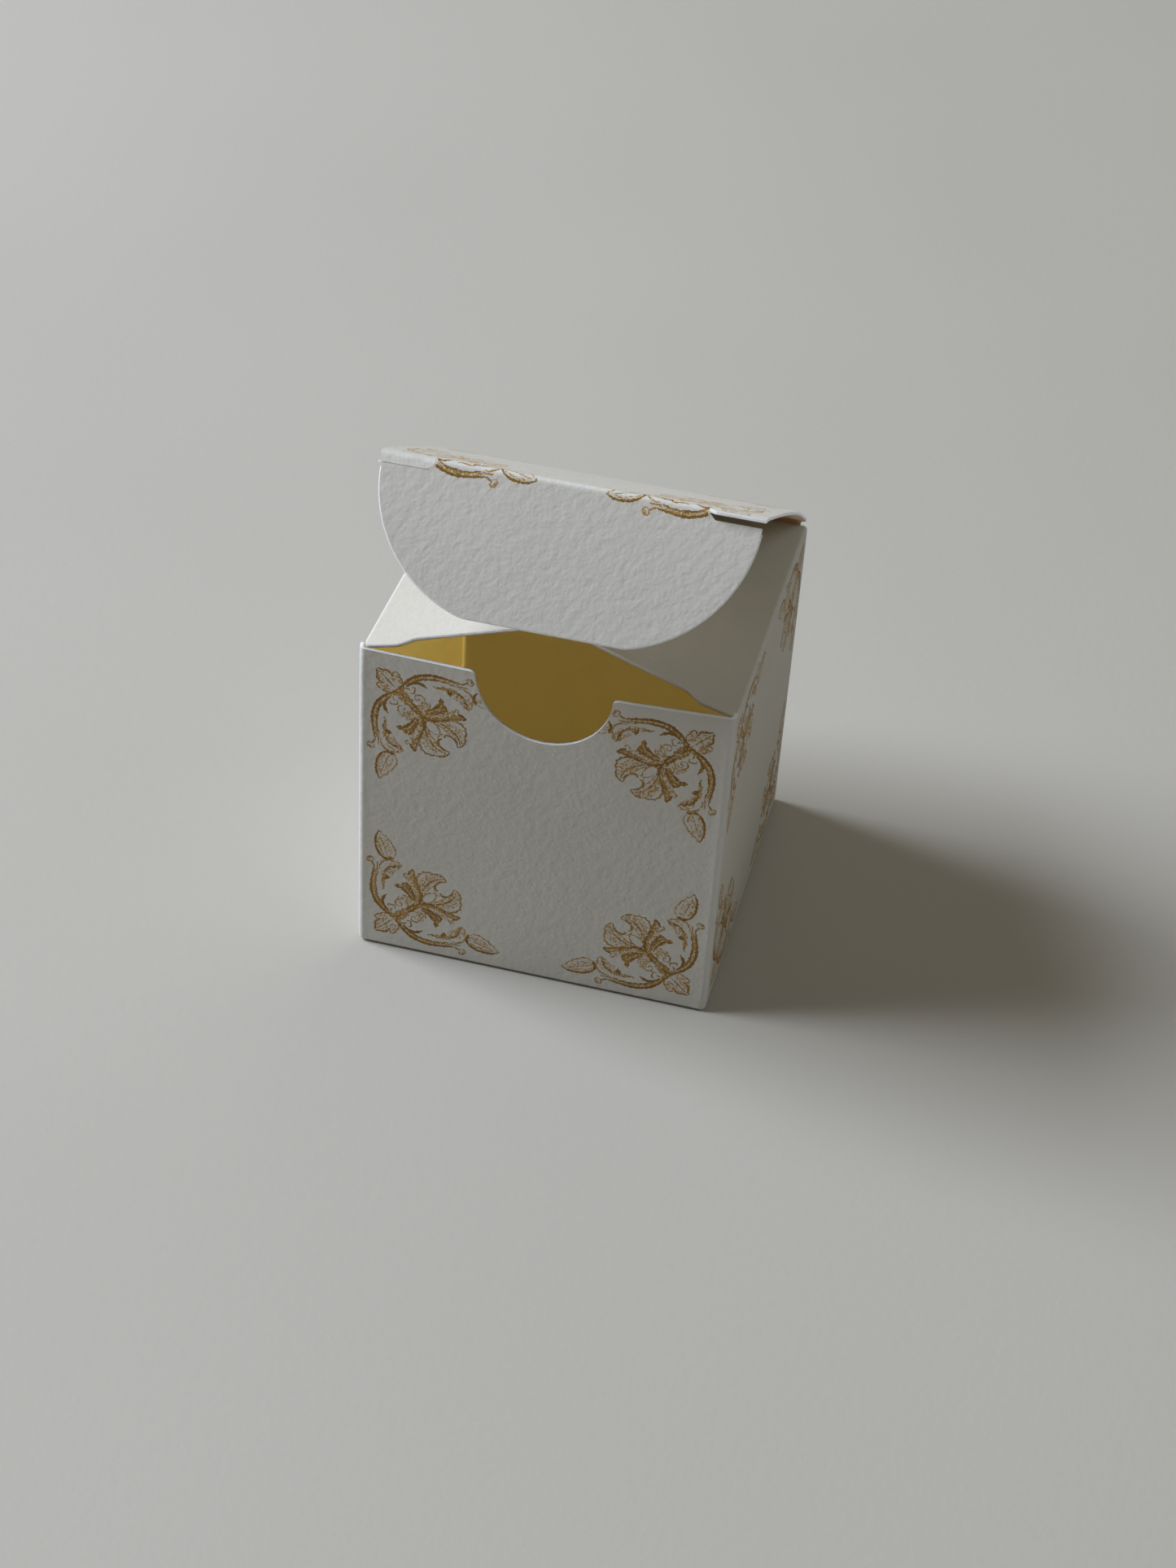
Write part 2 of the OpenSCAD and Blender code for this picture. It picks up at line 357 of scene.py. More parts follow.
def box_walls(finishes):
    """Walls and base as one closed skin.

    Rows run from the middle of the base's underside out to the foot, round it, up the outside, over the top
    edge, down the inside and back to the middle of the base. A point is its column's core plus the outward
    direction times the fold's radius and an offset. The foot is an arc of that offset, but under the front
    wall it is a step, where the wall's cut edge laps over the base's fold. Rows of the base draw the whole
    plan in towards its middle.
    """
    core, out, top, foot, lift, crease = wall_columns()
    front = np.isclose(out[:, 1], -1)
    arc = np.linspace(-math.pi / 2, 0, 8)[:, None]
    inner_arc = arc[-2::-1]
    climb = np.linspace(0, 1, 34)[1:, None]
    fall = np.linspace(1, 0, 34)[:, None]
    draw = BASE_ROWS[:, None]
    inner_foot = np.maximum(foot - CARD, INNER_FOOT_R)
    cut = (FOOT_R - foot) / (FOOT_R - FRONT_FOOT_R)
    foot_out = cut * FRONT_LAP * LAP_ROWS[:, None] + (1 - cut) * foot * (np.cos(arc) - 1)
    foot_z = cut * FRONT_LIFT * LIFT_ROWS[:, None] + (1 - cut) * foot * (1 + np.sin(arc))
    inner_out = inner_foot * (np.cos(inner_arc) - 1) - CARD
    inner_z = CARD + inner_foot * (1 + np.sin(inner_arc))
    outside_z = foot + climb * (top - foot)
    inside_z = CARD + inner_foot + fall * (top - CARD - inner_foot)

    def bow(z):
        bead = lift * np.clip((top - z) / BEAD_FADE, 0, 1)
        return np.where(front, front_bow(core[:, 0], z), 0) + bead

    # Bands of rows: share of the plan, offset, height, finish and wear
    bands = [
        (draw, -foot, 0, 0, 0),
        (1, foot_out, foot_z, 0, FOOT_WEAR),
        (1, bow(outside_z), outside_z, 0, 0),
        (1, bow(top) - CARD * RIM_SHARES, top + RIM_RISE, 2, 1),
        (1, bow(inside_z) - CARD, inside_z, 1, 0),
        (1, inner_out, inner_z, 1, 0),
        (draw[::-1], -CARD - inner_foot, CARD, 1, 0),
    ]
    bands = [np.broadcast_arrays(*band) for band in bands]
    scale, offset, z, finish, wear_and_highlight = [np.concatenate(part) for part in zip(*bands)]
    plan = scale[..., None] * (core + (FOLD_R + offset)[..., None] * out)
    points = np.concatenate([plan, z[..., None]], -1).reshape(-1, 3)
    index = np.arange(z.size).reshape(z.shape)
    after = np.roll(index, -1, 1)
    quads = np.stack([index[:-1], after[:-1], after[1:], index[1:]], -1).reshape(-1, 4).tolist()
    ends = [index[0, ::-1].tolist(), index[-1].tolist()]
    finish_of_face = np.append(np.maximum(finish[:-1], finish[1:]), [0, 1])
    # Outside, the upright folds' painted highlight joins the wear
    wear_and_highlight = np.maximum(wear_and_highlight, crease * (finish != 1)).ravel()
    return piece("box_walls", points, quads + ends, finishes, finish_of_face, ("crease", wear_and_highlight))


def lid_bulge(s):
    """How far the lid stands off its flat plane at the distance s from its fold.

    The bow is two arcs that meet level at the crest, each drawn as the drop of its circle below the crest.
    """
    run = np.maximum(s, 0) - LID_CREST
    span = np.where(run < 0, LID_CREST, LID_LEN - LID_CREST)
    radius = (span ** 2 + LID_BOW ** 2) / (2 * LID_BOW)
    return LID_BOW - radius + np.sqrt(radius ** 2 - run ** 2)


def lid_surface(x, s):
    """Middle of the lid at x across and s from its back fold, and its outward normal.

    The fold's line, raised by the bulge and slid sideways towards the front. The tongues curl down past the
    crease on an arc: far on the left, hardly on the right.
    """
    body = np.minimum(s, CURL_AT)
    point, normal, heading = fold(body, LID_HINGE, Z, Y, LID_FOLD, LID_FOLD_R)
    step = 0.05
    slope = ((lid_bulge(body + step) - lid_bulge(body - step)) / (2 * step))[..., None]
    shift = x + LID_SKEW * ease(0, SKEW_FULL, s)
    point = point + lid_bulge(body)[..., None] * normal + shift[..., None] * X
    lean = np.sqrt(1 + slope ** 2)
    normal, heading = (normal - slope * heading) / lean, (heading + slope * normal) / lean
    past = np.maximum(s - body, 0)
    tilt = np.minimum(past / CURL_R, np.where(x < 0, LEFT_CURL, RIGHT_CURL))
    straight = past - CURL_R * tilt
    run = CURL_R * np.sin(tilt) + straight * np.cos(tilt)
    drop = CURL_R * (1 - np.cos(tilt)) + straight * np.sin(tilt)
    point = point + run[..., None] * heading - drop[..., None] * normal
    tilt = tilt[..., None]
    return point, normal * np.cos(tilt) + heading * np.sin(tilt)


def tuck_surface(x, q):
    """Middle of the tuck flap at x across and q past its crease, and its outward normal.

    The lid's plane turned down over the crease, bulged outwards along half a sine wave of its length.
    """
    point, normal, _ = fold(q, TUCK_CREASE, LID_ALONG, LID_UP, TUCK_FOLD, TUCK_FOLD_R)
    bulge = lid_bulge(LID_LEN + np.minimum(q, 0))
    bulge = bulge + TUCK_BULGE * np.sin(math.pi * np.clip(q / TUCK_LEN, 0, 1))
    return point + bulge[..., None] * normal + (x + LID_SKEW)[..., None] * X, normal


def flap_surface(side, y, s):
    """Middle of a dust flap at y along its fold and s from it, and its outward normal.

    The side is -1 for the left flap and 1 for the right one.
    """
    corner = np.array([side * FLAP_X, 0, FLAP_Z])
    point, normal, _ = fold(s, corner, Z, side * X, FLAP_FOLD, FLAP_FOLD_R)
    return point + y[..., None] * Y, normal


def lid(finishes):
    """The lid: rows run from the back wall over the fold to the seam with the tuck flap.

    In the tongues they run on past the seam. Rows lie closest together over the fold and by the seam.
    """
    slit_end = NECK_HALF + SLIT
    half = np.concatenate([np.linspace(0, NECK_HALF - BESIDE_SLIT, 24), [NECK_HALF + SLIT / 2],
                           slit_end + SLIT_SLANT * np.array([0, 0.5, 1]),
                           np.linspace(slit_end + PAST_SLIT, LID_HALF, 10)])
    x = np.concatenate([-half[:0:-1], half])
    ax = np.abs(x)
    tongue = LID_LEN + CARD + (TONGUE - CARD) * np.clip((ax - slit_end) / SLIT_SLANT, 0, 1)
    end = np.where(ax < slit_end - NEAR, SEAM_AT, tongue)
    start = STRIP_TOP - LID_HINGE[2]
    share = np.interp(np.arange(96), [0, 23, 82, 95], [0, 0.06, 0.97, 1])
    s = start + share[:, None] * (end - start)
    wide = 1 - FOLD_NARROW * (1 - ease(*NARROW_SPAN, s)) * ax / LID_HALF
    middle, normal = lid_surface(x * wide, s)
    crease = np.maximum(worn_at(s, FOLD_CRACK), worn_at(s - LID_LEN, SEAM_CRACK))
    return card_sheet("lid", middle, normal, finishes, crease)


def tuck_flap(finishes):
    """The tuck flap with the strip over its crease: columns each run from their own top to their own end.

    The end is the flap's length, cut back by two round corners. The top is the seam on the lid between the
    slits, and the slit beyond them. Rows crowd towards the crease.
    """
    half = np.concatenate([np.linspace(0, NECK_HALF - BESIDE_SLIT, 24), [NECK_HALF, NECK_HALF + SLIT / 2],
                           NECK_HALF + SLIT_SLANT * np.array([0.5, 1]),
                           TUCK_HALF - ROUND_SPAN * np.linspace(1, 0.06, 20) ** 2])
    x = np.concatenate([-half[:0:-1], half])
    ax = np.abs(x)
    shoulder = CARD + (SLIT_DROP - CARD) * np.clip((ax - NECK_HALF) / SLIT_SLANT, 0, 1)
    start = np.where(ax <= NECK_HALF + NEAR, SEAM_AT - LID_LEN, shoulder)
    reach = np.clip(ax - (TUCK_HALF - TUCK_CORNER), 0, TUCK_CORNER)
    end = np.minimum(TUCK_LEN, SLIT_DROP + np.sqrt(TUCK_CORNER ** 2 - reach ** 2)) - FREE_RIM + RIM
    share = np.linspace(0, 1, 72) ** 1.9
    q = start + share[:, None] * (end - start)
    middle, normal = tuck_surface(x + 0 * q, q)
    bulge = np.full(q.shape, RIM)
    bulge[-1] = FREE_RIM
    return card_sheet("tuck", middle, normal, finishes, worn_at(q, TUCK_CRACK), bulge)


def dust_flap(name, side, finishes):
    """A dust flap with the strip over its crease: rows run from the wall to the free end.

    Each row runs between two edges: the front edge is a shoulder, an S-shaped step along half a cosine wave
    and a taper, and the back edge a taper. Both end in a round corner.
    """
    corner_s = FLAP_LEN - FLAP_CORNER
    s = np.concatenate([np.linspace(STRIP_TOP - FLAP_Z, FLAP_BENT, 18),
                        np.linspace(FLAP_STRAIGHT, corner_s, 60),
                        corner_s + FLAP_CORNER * np.sin(np.linspace(0, math.pi / 2, 14)[1:])])
    step_y = FLAP_FRONT + STEP_DEPTH
    step_end = SHOULDER + STEP_LEN
    wave = (1 - np.cos(math.pi * np.clip((s - SHOULDER) / STEP_LEN, 0, 1))) / 2
    front = np.where(s < step_end, FLAP_FRONT + STEP_DEPTH * wave, step_y + (s - step_end) * FRONT_TAPER)
    back = FLAP_BACK - np.maximum(s, 0) * BACK_TAPER
    round_off = np.sqrt(np.maximum(FLAP_CORNER ** 2 - np.maximum(s - corner_s, 0) ** 2, 0))
    front_c = step_y + (corner_s - step_end) * FRONT_TAPER + FLAP_CORNER * math.hypot(1, FRONT_TAPER)
    back_c = FLAP_BACK - corner_s * BACK_TAPER - FLAP_CORNER * math.hypot(1, BACK_TAPER)
    front = np.where(s > corner_s, np.maximum(front, front_c - round_off), front)
    back = np.where(s > corner_s, np.minimum(back, back_c + round_off), back)
    share = np.linspace(0, 1, 40)
    y = front[:, None] + share * (back - front)[:, None]
    s = s[:, None] + 0 * y
    middle, normal = flap_surface(side, y, s)
    return card_sheet(name, middle, normal, finishes, worn_at(s, FOLD_CRACK))


def flat_sheet(name, origin, across, up, normal, finishes):
    """Flat layer of card: a grid from its origin along two sides."""
    share = np.linspace(0, 1, 12)
    middle = origin + share[:, None, None] * up + share[None, :, None] * across
    return card_sheet(name, middle, np.broadcast_to(normal, middle.shape), finishes)


# The print

# The ink on the card: the print's shift past the lid's crease, how high the ink stands, the profile of a
# ribbon, how low thin ink lies, and how far it keeps from the notch, the slits and the tongue's end
PRINT_SHIFT = 3.5
INK_RISE = 0.02
INK_PROFILE = np.array([[-0.2], [1], [-0.2]])
THIN_INK = 0.4
INK_CLEAR = 0.15
INK_FROM_SLIT = 1.1
INK_FROM_END = 0.35
INK_SHARP = 80
# The lid's print is inked at half strength: a painted sheen, the pale gloss of its ink at a grazing view
# painted in as thinner ink
LID_INK_PAINTED_SHEEN = 0.5
CREASE_INK = 1.0

# The strokes, tones and hairs: their widths and ends, and how far they stray at random
PATH_STEP = 0.22
PEN = 0.86
SWELL = 0.75
BLUNT = 0.6
STROKE_END = 0.3
STRAY = 0.035
UNEVEN = 0.4
TONE = 0.9
TONE_END = 0.5
HAIR = 0.085
HAIR_TAPER = np.array([1, 0.9, 0.7, 0.35])
HAIR_LEAN = (0.3, 0.9)
HAIR_REACH = (0.55, 1.1)
HAIR_ENDS = (0.2, 0.15)

# The corners of a panel, as whether each is on the right and at the top
ALL_CORNERS = [(0, 0), (1, 0), (0, 1), (1, 1)]
LOWER_CORNERS = [(0, 0), (1, 0)]

# Half a corner ornament, in millimetres from the corner's two edges. The other half is its mirror image
# across the corner's diagonal. A stroke is its width, how much of it is inked, its hatching and its points.
# Hatching is a side, the hairs' length and their spacing.
STROKES = [
    # Leaf at the end of the stem
    (0.40, 0.95, (-1, 0.24, 0.3), [(3.91, 15.77), (3.18, 16.39), (2.77, 17.18), (2.55, 18.05),
     (2.55, 18.89), (2.66, 19.68), (2.89, 20.18), (3.18, 20.59)]),
    (0.22, 0.6, (1, 0.3, 0.3), [(3.18, 20.59), (3.57, 19.86), (4.05, 19.68), (4.32, 19.18), (4.73, 18.82),
     (4.91, 18.36), (5.23, 17.95), (5.41, 17.36), (5.32, 16.68), (5.05, 16.16), (4.86, 15.77)]),
    (0.22, 0.6, None, [(4.27, 16.00), (4.14, 16.77), (3.91, 17.45), (3.64, 18.20), (3.36, 19.11),
     (3.23, 19.91)]),
    (0.18, 0.5, None, [(4.45, 16.05), (4.68, 16.73), (4.68, 17.41), (4.50, 18.05)]),
    (0.18, 0.5, None, [(3.64, 16.16), (3.41, 16.84), (3.18, 17.52), (3.05, 18.20)]),
    (0.54, 1.0, None, [(3.55, 16.05), (4.23, 15.77), (4.66, 16.00), (5.18, 16.00)]),
    # Bud
    (0.24, 0.7, None, [(2.23, 14.86), (1.91, 14.95), (1.59, 14.82), (1.32, 15.00), (1.41, 15.36),
     (1.77, 15.64), (2.18, 15.59), (2.32, 15.27), (2.18, 14.95)]),
    (0.28, 0.7, None, [(1.50, 15.09), (1.73, 15.36), (2.05, 15.41)]),
    (0.30, 0.8, None, [(1.91, 14.91), (2.27, 14.45), (2.41, 13.86)]),
    # Stem
    (0.60, 1.0, (-1, 0.24, 0.28), [(2.41, 13.86), (2.23, 12.98), (2.09, 11.95), (2.00, 10.93), (2.05, 9.91),
     (2.23, 8.95), (2.59, 8.05), (3.14, 7.27), (3.82, 6.59), (4.64, 6.00), (5.36, 5.55)]),
    (0.36, 0.85, (-1, 0.25, 0.34), [(3.00, 13.32), (2.73, 12.30), (2.59, 11.27), (2.59, 10.25),
     (2.77, 9.23), (3.18, 8.20), (3.77, 7.41), (4.55, 6.68)]),
    (0.30, 0.7, None, [(2.91, 15.02), (2.82, 14.23), (2.91, 13.43)]),
    (0.58, 1.0, (1, 0.22, 0.3), [(4.23, 9.45), (3.86, 9.00), (3.64, 8.32), (3.73, 7.59), (4.05, 7.05),
     (4.55, 6.64)]),
    (0.26, 0.8, None, [(5.45, 7.14), (5.41, 7.59), (5.00, 7.82), (4.55, 7.77), (4.32, 7.45)]),
    (0.24, 0.7, None, [(4.91, 6.45), (4.86, 6.91), (5.05, 7.18)]),
    # Leaf on the stem
    (0.26, 0.65, (1, 0.25, 0.34), [(3.14, 13.73), (3.23, 14.45), (3.55, 15.09), (4.09, 15.50),
     (4.68, 15.68), (5.27, 15.55), (5.82, 15.50), (6.36, 15.09)]),
    (0.50, 0.95, (1, 0.35, 0.26), [(6.36, 15.09), (5.95, 14.86), (5.64, 14.95), (5.18, 14.64),
     (4.68, 14.45), (4.27, 14.00), (4.00, 13.50), (3.77, 12.95)]),
    (0.60, 1.0, None, [(4.73, 12.64), (4.32, 12.50), (3.91, 12.36), (3.55, 12.18)]),
    (0.46, 1.0, None, [(3.77, 12.95), (4.00, 12.64), (4.45, 12.82)]),
    (0.32, 0.75, (1, 0.25, 0.3), [(3.55, 12.18), (3.59, 11.50), (3.77, 10.82), (3.64, 10.14)]),
    (0.20, 0.5, None, [(6.18, 14.73), (5.68, 14.27), (5.45, 13.73)]),
    (0.20, 0.5, None, [(5.41, 14.05), (5.05, 13.50), (4.86, 12.95)]),
    (0.20, 0.5, None, [(5.95, 14.86), (5.36, 14.27), (5.00, 13.86), (4.55, 13.23)]),
    # C-scroll
    (0.26, 0.8, None, [(7.23, 7.82), (7.32, 8.36), (7.05, 8.91), (6.55, 9.18), (5.95, 9.09), (5.55, 8.68),
     (5.50, 8.14), (5.86, 7.82), (6.27, 7.82)]),
    (0.22, 0.7, None, [(6.27, 7.82), (6.45, 8.09), (6.27, 8.41), (6.00, 8.32)]),
    (0.20, 0.55, None, [(6.18, 9.45), (6.82, 9.55), (7.41, 9.23), (7.73, 8.64)]),
    (0.22, 0.6, None, [(6.41, 9.86), (6.95, 9.91), (7.45, 9.59)]),
    # Rising leaf beside the diagonal
    (0.85, 1.0, (1, 0.4, 0.22), [(7.27, 6.91), (7.91, 7.50), (8.45, 8.23), (8.86, 9.09), (9.09, 9.95),
     (9.09, 10.82), (8.86, 11.61), (8.50, 12.30), (8.18, 12.86)]),
    (0.50, 0.95, None, [(8.00, 14.86), (7.73, 14.55), (7.41, 14.09), (7.18, 13.68)]),
    (0.34, 0.85, (1, 0.3, 0.28), [(8.00, 14.86), (8.05, 14.23), (8.18, 13.55), (8.45, 12.86), (8.73, 12.18),
     (9.00, 11.36)]),
    (0.24, 0.65, None, [(7.18, 13.68), (6.82, 13.86), (6.59, 13.50), (7.09, 13.14), (7.55, 12.64),
     (7.91, 12.09)]),
    (0.24, 0.7, None, [(7.50, 13.86), (7.82, 13.09), (8.23, 12.18), (8.64, 11.27)]),
    # Lobes that curl back from it
    (0.38, 0.9, (1, 0.25, 0.28), [(5.32, 11.36), (5.73, 11.59), (6.18, 11.45), (6.59, 11.91), (7.05, 12.09),
     (7.50, 11.91), (7.82, 11.36)]),
    (0.52, 1.0, (-1, 0.2, 0.3), [(5.32, 11.36), (5.86, 11.23), (6.45, 11.27), (6.82, 10.82), (7.23, 10.36),
     (7.64, 9.86), (7.95, 9.36)]),
    (0.50, 0.9, None, [(6.36, 11.73), (6.82, 11.55), (7.27, 11.23), (7.68, 10.64), (8.00, 9.91),
     (8.14, 9.23)]),
    (0.42, 0.95, None, [(7.05, 12.09), (7.41, 11.55), (7.86, 10.95), (8.23, 10.14), (8.32, 9.36)]),
    # Broad leaf that meets its mirror image
    (0.26, 0.75, (-1, 0.28, 0.3), [(9.00, 11.36), (8.73, 12.18), (8.55, 12.86), (8.45, 13.50),
     (8.77, 13.86), (8.73, 14.27), (9.18, 14.50), (9.36, 14.82), (9.86, 14.73), (10.09, 14.95),
     (10.64, 14.82), (11.14, 14.86), (11.64, 14.77), (12.05, 14.68), (12.36, 14.45), (12.61, 14.14),
     (12.70, 13.73)]),
    (0.36, 0.85, (1, 0.3, 0.3), [(12.70, 13.73), (12.32, 13.73), (11.91, 13.59), (11.48, 13.32),
     (11.18, 12.95), (11.07, 12.45), (11.25, 12.05), (11.59, 11.80)]),
    (0.30, 0.75, (1, 0.35, 0.34), [(9.18, 10.36), (9.41, 11.27), (9.77, 12.18), (10.27, 13.00),
     (10.95, 13.64), (11.64, 14.00), (12.27, 14.05)]),
    (0.20, 0.55, None, [(9.27, 11.27), (9.36, 12.18), (9.64, 13.09), (10.09, 13.82), (10.68, 14.27)]),
    (0.22, 0.6, None, [(9.55, 10.82), (10.00, 11.55), (10.50, 12.18), (11.00, 12.64)]),
    (0.24, 0.65, None, [(9.09, 9.45), (9.45, 10.36), (9.95, 10.95), (10.64, 11.27), (11.32, 11.27),
     (11.82, 10.95)]),
    (0.20, 0.5, None, [(10.00, 13.32), (10.68, 14.00), (11.36, 14.36), (12.05, 14.36)]),
    # Palmette in the corner
    (0.28, 0.75, (1, 0.25, 0.32), [(4.64, 5.82), (4.14, 6.09), (3.64, 6.05), (3.27, 5.68), (2.82, 5.50),
     (2.55, 5.05), (2.91, 4.77), (3.41, 4.77)]),
    (0.34, 0.85, (1, 0.25, 0.3), [(3.41, 4.77), (2.86, 4.41), (2.55, 3.86), (2.64, 3.27), (2.45, 2.64)]),
    (0.20, 0.55, None, [(4.32, 5.68), (3.91, 5.45), (3.41, 5.32), (3.05, 5.09)]),
    (0.20, 0.55, None, [(4.45, 5.23), (4.00, 4.95), (3.55, 4.64)]),
]
# Stippled tone under the strokes: its width, how much of it is inked, and its points
TONES = [
    (0.9, 0.42, [(3.75, 16.16), (3.18, 17.18), (2.95, 18.43), (3.09, 19.68)]),
    (1.0, 0.25, [(4.45, 16.16), (4.55, 17.18), (4.09, 18.55), (3.64, 19.34)]),
    (0.8, 0.55, [(2.68, 13.73), (2.36, 11.95), (2.27, 10.36), (2.55, 8.77), (3.41, 7.41), (4.66, 6.27)]),
    (1.0, 0.55, [(6.05, 15.00), (5.05, 14.64), (4.27, 13.77), (3.82, 12.68), (3.64, 11.27)]),
    (1.3, 0.25, [(5.95, 15.14), (5.14, 14.91), (4.55, 14.23), (4.23, 13.09)]),
    (1.2, 0.62, [(7.73, 14.34), (7.95, 13.09), (8.59, 11.95), (8.95, 10.59), (8.77, 9.23), (8.00, 7.98),
     (7.05, 6.95)]),
    (1.5, 0.6, [(5.95, 11.45), (6.82, 11.36), (7.59, 10.59), (8.05, 9.23)]),
    (1.0, 0.3, [(6.82, 13.55), (7.50, 12.64), (8.09, 11.73), (8.55, 10.36)]),
    (1.2, 0.3, [(9.00, 10.82), (9.14, 12.18), (9.64, 13.50), (10.68, 14.27), (12.16, 14.23)]),
    (0.9, 0.3, [(9.64, 11.27), (10.14, 12.18), (10.91, 12.98), (11.64, 13.64)]),
    (0.9, 0.35, [(4.45, 5.68), (3.73, 5.68), (3.09, 5.23)]),
    (0.9, 0.35, [(4.32, 5.36), (3.41, 4.41), (2.77, 3.27)]),
    (1.4, 0.7, [(4.55, 6.39), (5.41, 5.68), (6.14, 5.82), (6.82, 6.61), (7.50, 7.30)]),
    (1.2, 0.35, [(5.68, 9.00), (6.82, 9.09), (7.64, 8.32)]),
]
# Strokes on the diagonal itself
MIDDLE = [
    (0.26, 0.7, [(5.2, 5.2), (4.2, 4.2), (3.3, 3.35), (2.6, 2.7)]),
    (0.7, 1.0, [(4.9, 5.9), (5.5, 5.8), (6.4, 6.3)]),
    (0.7, 1.0, [(5.9, 4.9), (5.8, 5.5), (6.3, 6.4)]),
]


def smooth_path(points):
    """Points at about equal steps along a cubic through the given ones.

    Each stretch is a Hermite cubic, its slopes taken from its neighbours.
    """
    p = np.asarray(points, float)
    slope = np.gradient(p, axis=0)
    lengths = np.linalg.norm(np.diff(p, axis=0), axis=1)
    parts = []
    for a, b, m, n, length in zip(p[:-1], p[1:], slope[:-1], slope[1:], lengths):
        t = np.linspace(0, 1, max(2, int(length / PATH_STEP) + 1), endpoint=False)[:, None]
        parts.append((2 * t ** 3 - 3 * t ** 2 + 1) * a + (t ** 3 - 2 * t ** 2 + t) * m
                     + (3 * t ** 2 - 2 * t ** 3) * b + (t ** 3 - t ** 2) * n)
    return np.concatenate(parts + [p[-1:]])


def left_of(path):
    """Unit normals to the left of a path."""
    way = np.gradient(path, axis=0)
    way /= np.maximum(np.linalg.norm(way, axis=1, keepdims=True), NEAR)
    return np.stack([-way[:, 1], way[:, 0]], 1)


def taper(count, thin):
    """Half widths along a stroke, full in the middle and thin at its ends: a power of half a sine wave."""
    return thin + (1 - thin) * np.sin(math.pi * np.linspace(0, 1, count)) ** BLUNT


def ragged(path, half_width, rng):
    """A stroke as it prints on felt: its points stray to its sides and its width varies at random."""
    stray = rng.normal(0, STRAY, (len(path), 1))
    return path + left_of(path) * stray, half_width * rng.uniform(1 - UNEVEN, 1 + UNEVEN, len(path))


def stroke(points, width, rng):
    """A pen stroke through the points: its smooth path, and its ragged path and half widths."""
    path = smooth_path(points)
    return path, *ragged(path, PEN * width ** SWELL / 2 * taper(len(path), STROKE_END), rng)


def hairs_on(path, share, side, length, spacing, rng):
    """Short strokes that stand at a slant on one side of a path, of about one length and spacing."""
    normal = left_of(path) * side
    way = np.stack([normal[:, 1], -normal[:, 0]], 1) * side
    walk = np.concatenate([[0], np.cumsum(np.linalg.norm(np.diff(path, axis=0), axis=1))])
    first, last = HAIR_ENDS
    at = np.searchsorted(walk, np.arange(first, walk[-1] - last, spacing))
    lean = normal[at] + way[at] * rng.uniform(*HAIR_LEAN, (len(at), 1))
    lean /= np.linalg.norm(lean, axis=1, keepdims=True)
    reach = length * rng.uniform(*HAIR_REACH, (len(at), 1)) * lean
    hairs = path[at][:, None] + np.linspace(0, 1, len(HAIR_TAPER))[:, None] * reach[:, None]
    return [(hair, HAIR * HAIR_TAPER, share) for hair in hairs]


def corner_ornament():
    """One corner ornament as (path, half widths, inked share) in millimetres from the corner's two edges.

    Stippled tones first, then tapered strokes with their hairs, all of them mirrored across the diagonal.
    """
    rng = np.random.default_rng(7)
    half = []
    for width, share, points in TONES:
        path = smooth_path(points)
        half.append((*ragged(path, width / 2 * taper(len(path), TONE_END), rng), TONE * share))
    for width, share, hatching, points in STROKES:
        path, line, half_width = stroke(points, width, rng)
        half.append((line, half_width, share))
        if hatching:
            half += hairs_on(path, share, *hatching, rng)
    whole = half + [(path[:, ::-1], half_width, share) for path, half_width, share in half]
    for width, share, points in MIDDLE:
        _, line, half_width = stroke(points, width, rng)
        whole.append((line, half_width, share))
    return whole


ORNAMENT = corner_ornament()


def panel_ornaments(corners, left=1.0):
    """The strokes of one square panel's ornaments: u across and v up from the panel's lower left corner.

    The share of ink scales how much of each stroke is inked. The lid's print is thinned by it to paint the
    pale sheen of its ink at a grazing view.
    """
    side = 2 * HALF
    strokes = []
    for flip_u, flip_v in corners:
        for path, width, share in ORNAMENT:
            u = side - path[:, 0] if flip_u else path[:, 0]
            v = side - path[:, 1] if flip_v else path[:, 1]
            strokes.append((np.stack([u, v], 1), width, share * left))
    return strokes


def inked(name, strokes, place, fits, ink):
    """The strokes as ribbons of ink on a surface: low three-cornered strips, their crests just off the card.

    place(u, v) gives points and outward normals of the surface, and fits(u, v) says where the surface is.
    Fuller ink stands higher, so that strokes lie over the stippled tones.
    """
    points, faces, shares, count = [], [], [], 0
    for path, width, share in strokes:
        keep = fits(path[:, 0], path[:, 1])
        runs = np.split(np.arange(len(path)), np.flatnonzero(np.diff(keep.astype(int))) + 1)
        for run in runs:
            if len(run) < 3 or not keep[run[0]]:
                continue
            line = path[run]
            left = left_of(line) * width[run][:, None]
            uv = np.stack([line + left, line, line - left], 1)
            on, normal = place(uv[..., 0], uv[..., 1])
            rise = INK_PROFILE * INK_RISE * (THIN_INK + (1 - THIN_INK) * share)
            points.append((on + normal * rise).reshape(-1, 3))
            shares.append(np.full(3 * len(run), share))
            first = count + 3 * np.arange(len(run))
            crest = first + 1
            last = first + 2
            faces += np.stack([first[:-1], crest[:-1], crest[1:], first[1:]], 1).tolist()
            faces += np.stack([crest[:-1], last[:-1], last[1:], crest[1:]], 1).tolist()
            faces += np.stack([first[:-1], first[1:], last[1:], last[:-1]], 1).tolist()
            faces += [[first[0], last[0], crest[0]], [last[-1], first[-1], crest[-1]]]
            count += 3 * len(run)
    mark = ("inked_share", np.concatenate(shares))
    thing = piece(name, np.concatenate(points), faces, [ink], mark=mark, sharp=INK_SHARP)
    # The light that passes through the card to its inside doesn't pick up the print on the outside
    thing.visible_shadow = False
    thing.visible_diffuse = False
    return thing


